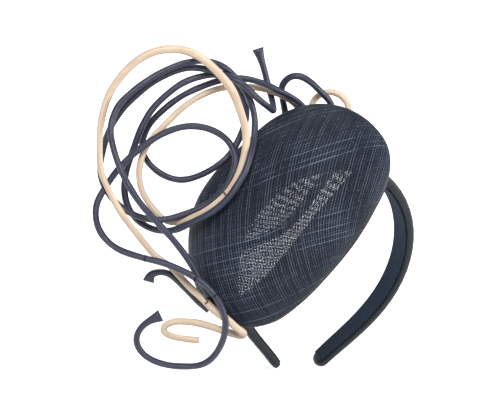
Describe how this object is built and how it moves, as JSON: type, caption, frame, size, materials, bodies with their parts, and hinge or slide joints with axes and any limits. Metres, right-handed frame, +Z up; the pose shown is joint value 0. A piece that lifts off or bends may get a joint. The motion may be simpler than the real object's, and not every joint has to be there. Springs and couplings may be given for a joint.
{
  "type": "fascinator headpiece",
  "caption": "Woven straw cocktail base wired to a satin alice band, trimmed with a looping spray of covered satin tubes.",
  "frame": {"origin": "middle of the band's flat inner facet at the crown, where the ribbon lining sits on the head", "axes": "+Z up out of the crown, the band's arch in XZ and its ribbon width along Y, the wearer's face towards -Y, the base on the -X side"},
  "size_m": [0.2309, 0.1099, 0.2201],
  "materials": {
    "grosgrain": "ribbed grosgrain ribbon",
    "band_core": "matte",
    "padding": "felt wadding",
    "navy_satin": "satin",
    "sinamay": "open woven straw, stiffened",
    "millinery_wire": "cotton-wrapped wire",
    "rim_binding": "matt bias binding",
    "felt": "felt",
    "thread": "spun thread",
    "nude_satin": "satin"
  },
  "bodies": {
    "root": {"band_lining": "grosgrain", "band_core": "band_core", "band_padding": "padding", "band_satin_cover": "navy_satin", "band_tip_right": "navy_satin", "band_tip_left": "navy_satin", "base_outer_shell": "sinamay", "base_inner_shell": "sinamay", "base_facing": "sinamay", "rim_wire": "millinery_wire", "rim_binding": "rim_binding", "opening_binding": "sinamay", "opening_stay": "sinamay", "spray_anchor_patch": "felt", "band_tie_1": "thread", "band_tie_2": "thread", "band_tie_3": "thread", "rouleau_navy_long": "navy_satin", "rouleau_navy_tailed": "navy_satin", "rouleau_nude_long": "nude_satin", "rouleau_navy_back": "navy_satin", "rouleau_nude_back": "nude_satin", "rouleau_navy_short": "navy_satin", "thread_knot_1": "thread", "thread_knot_2": "thread", "thread_knot_3": "thread", "thread_knot_4": "thread", "thread_knot_5": "thread"}
  },
  "joints": []
}
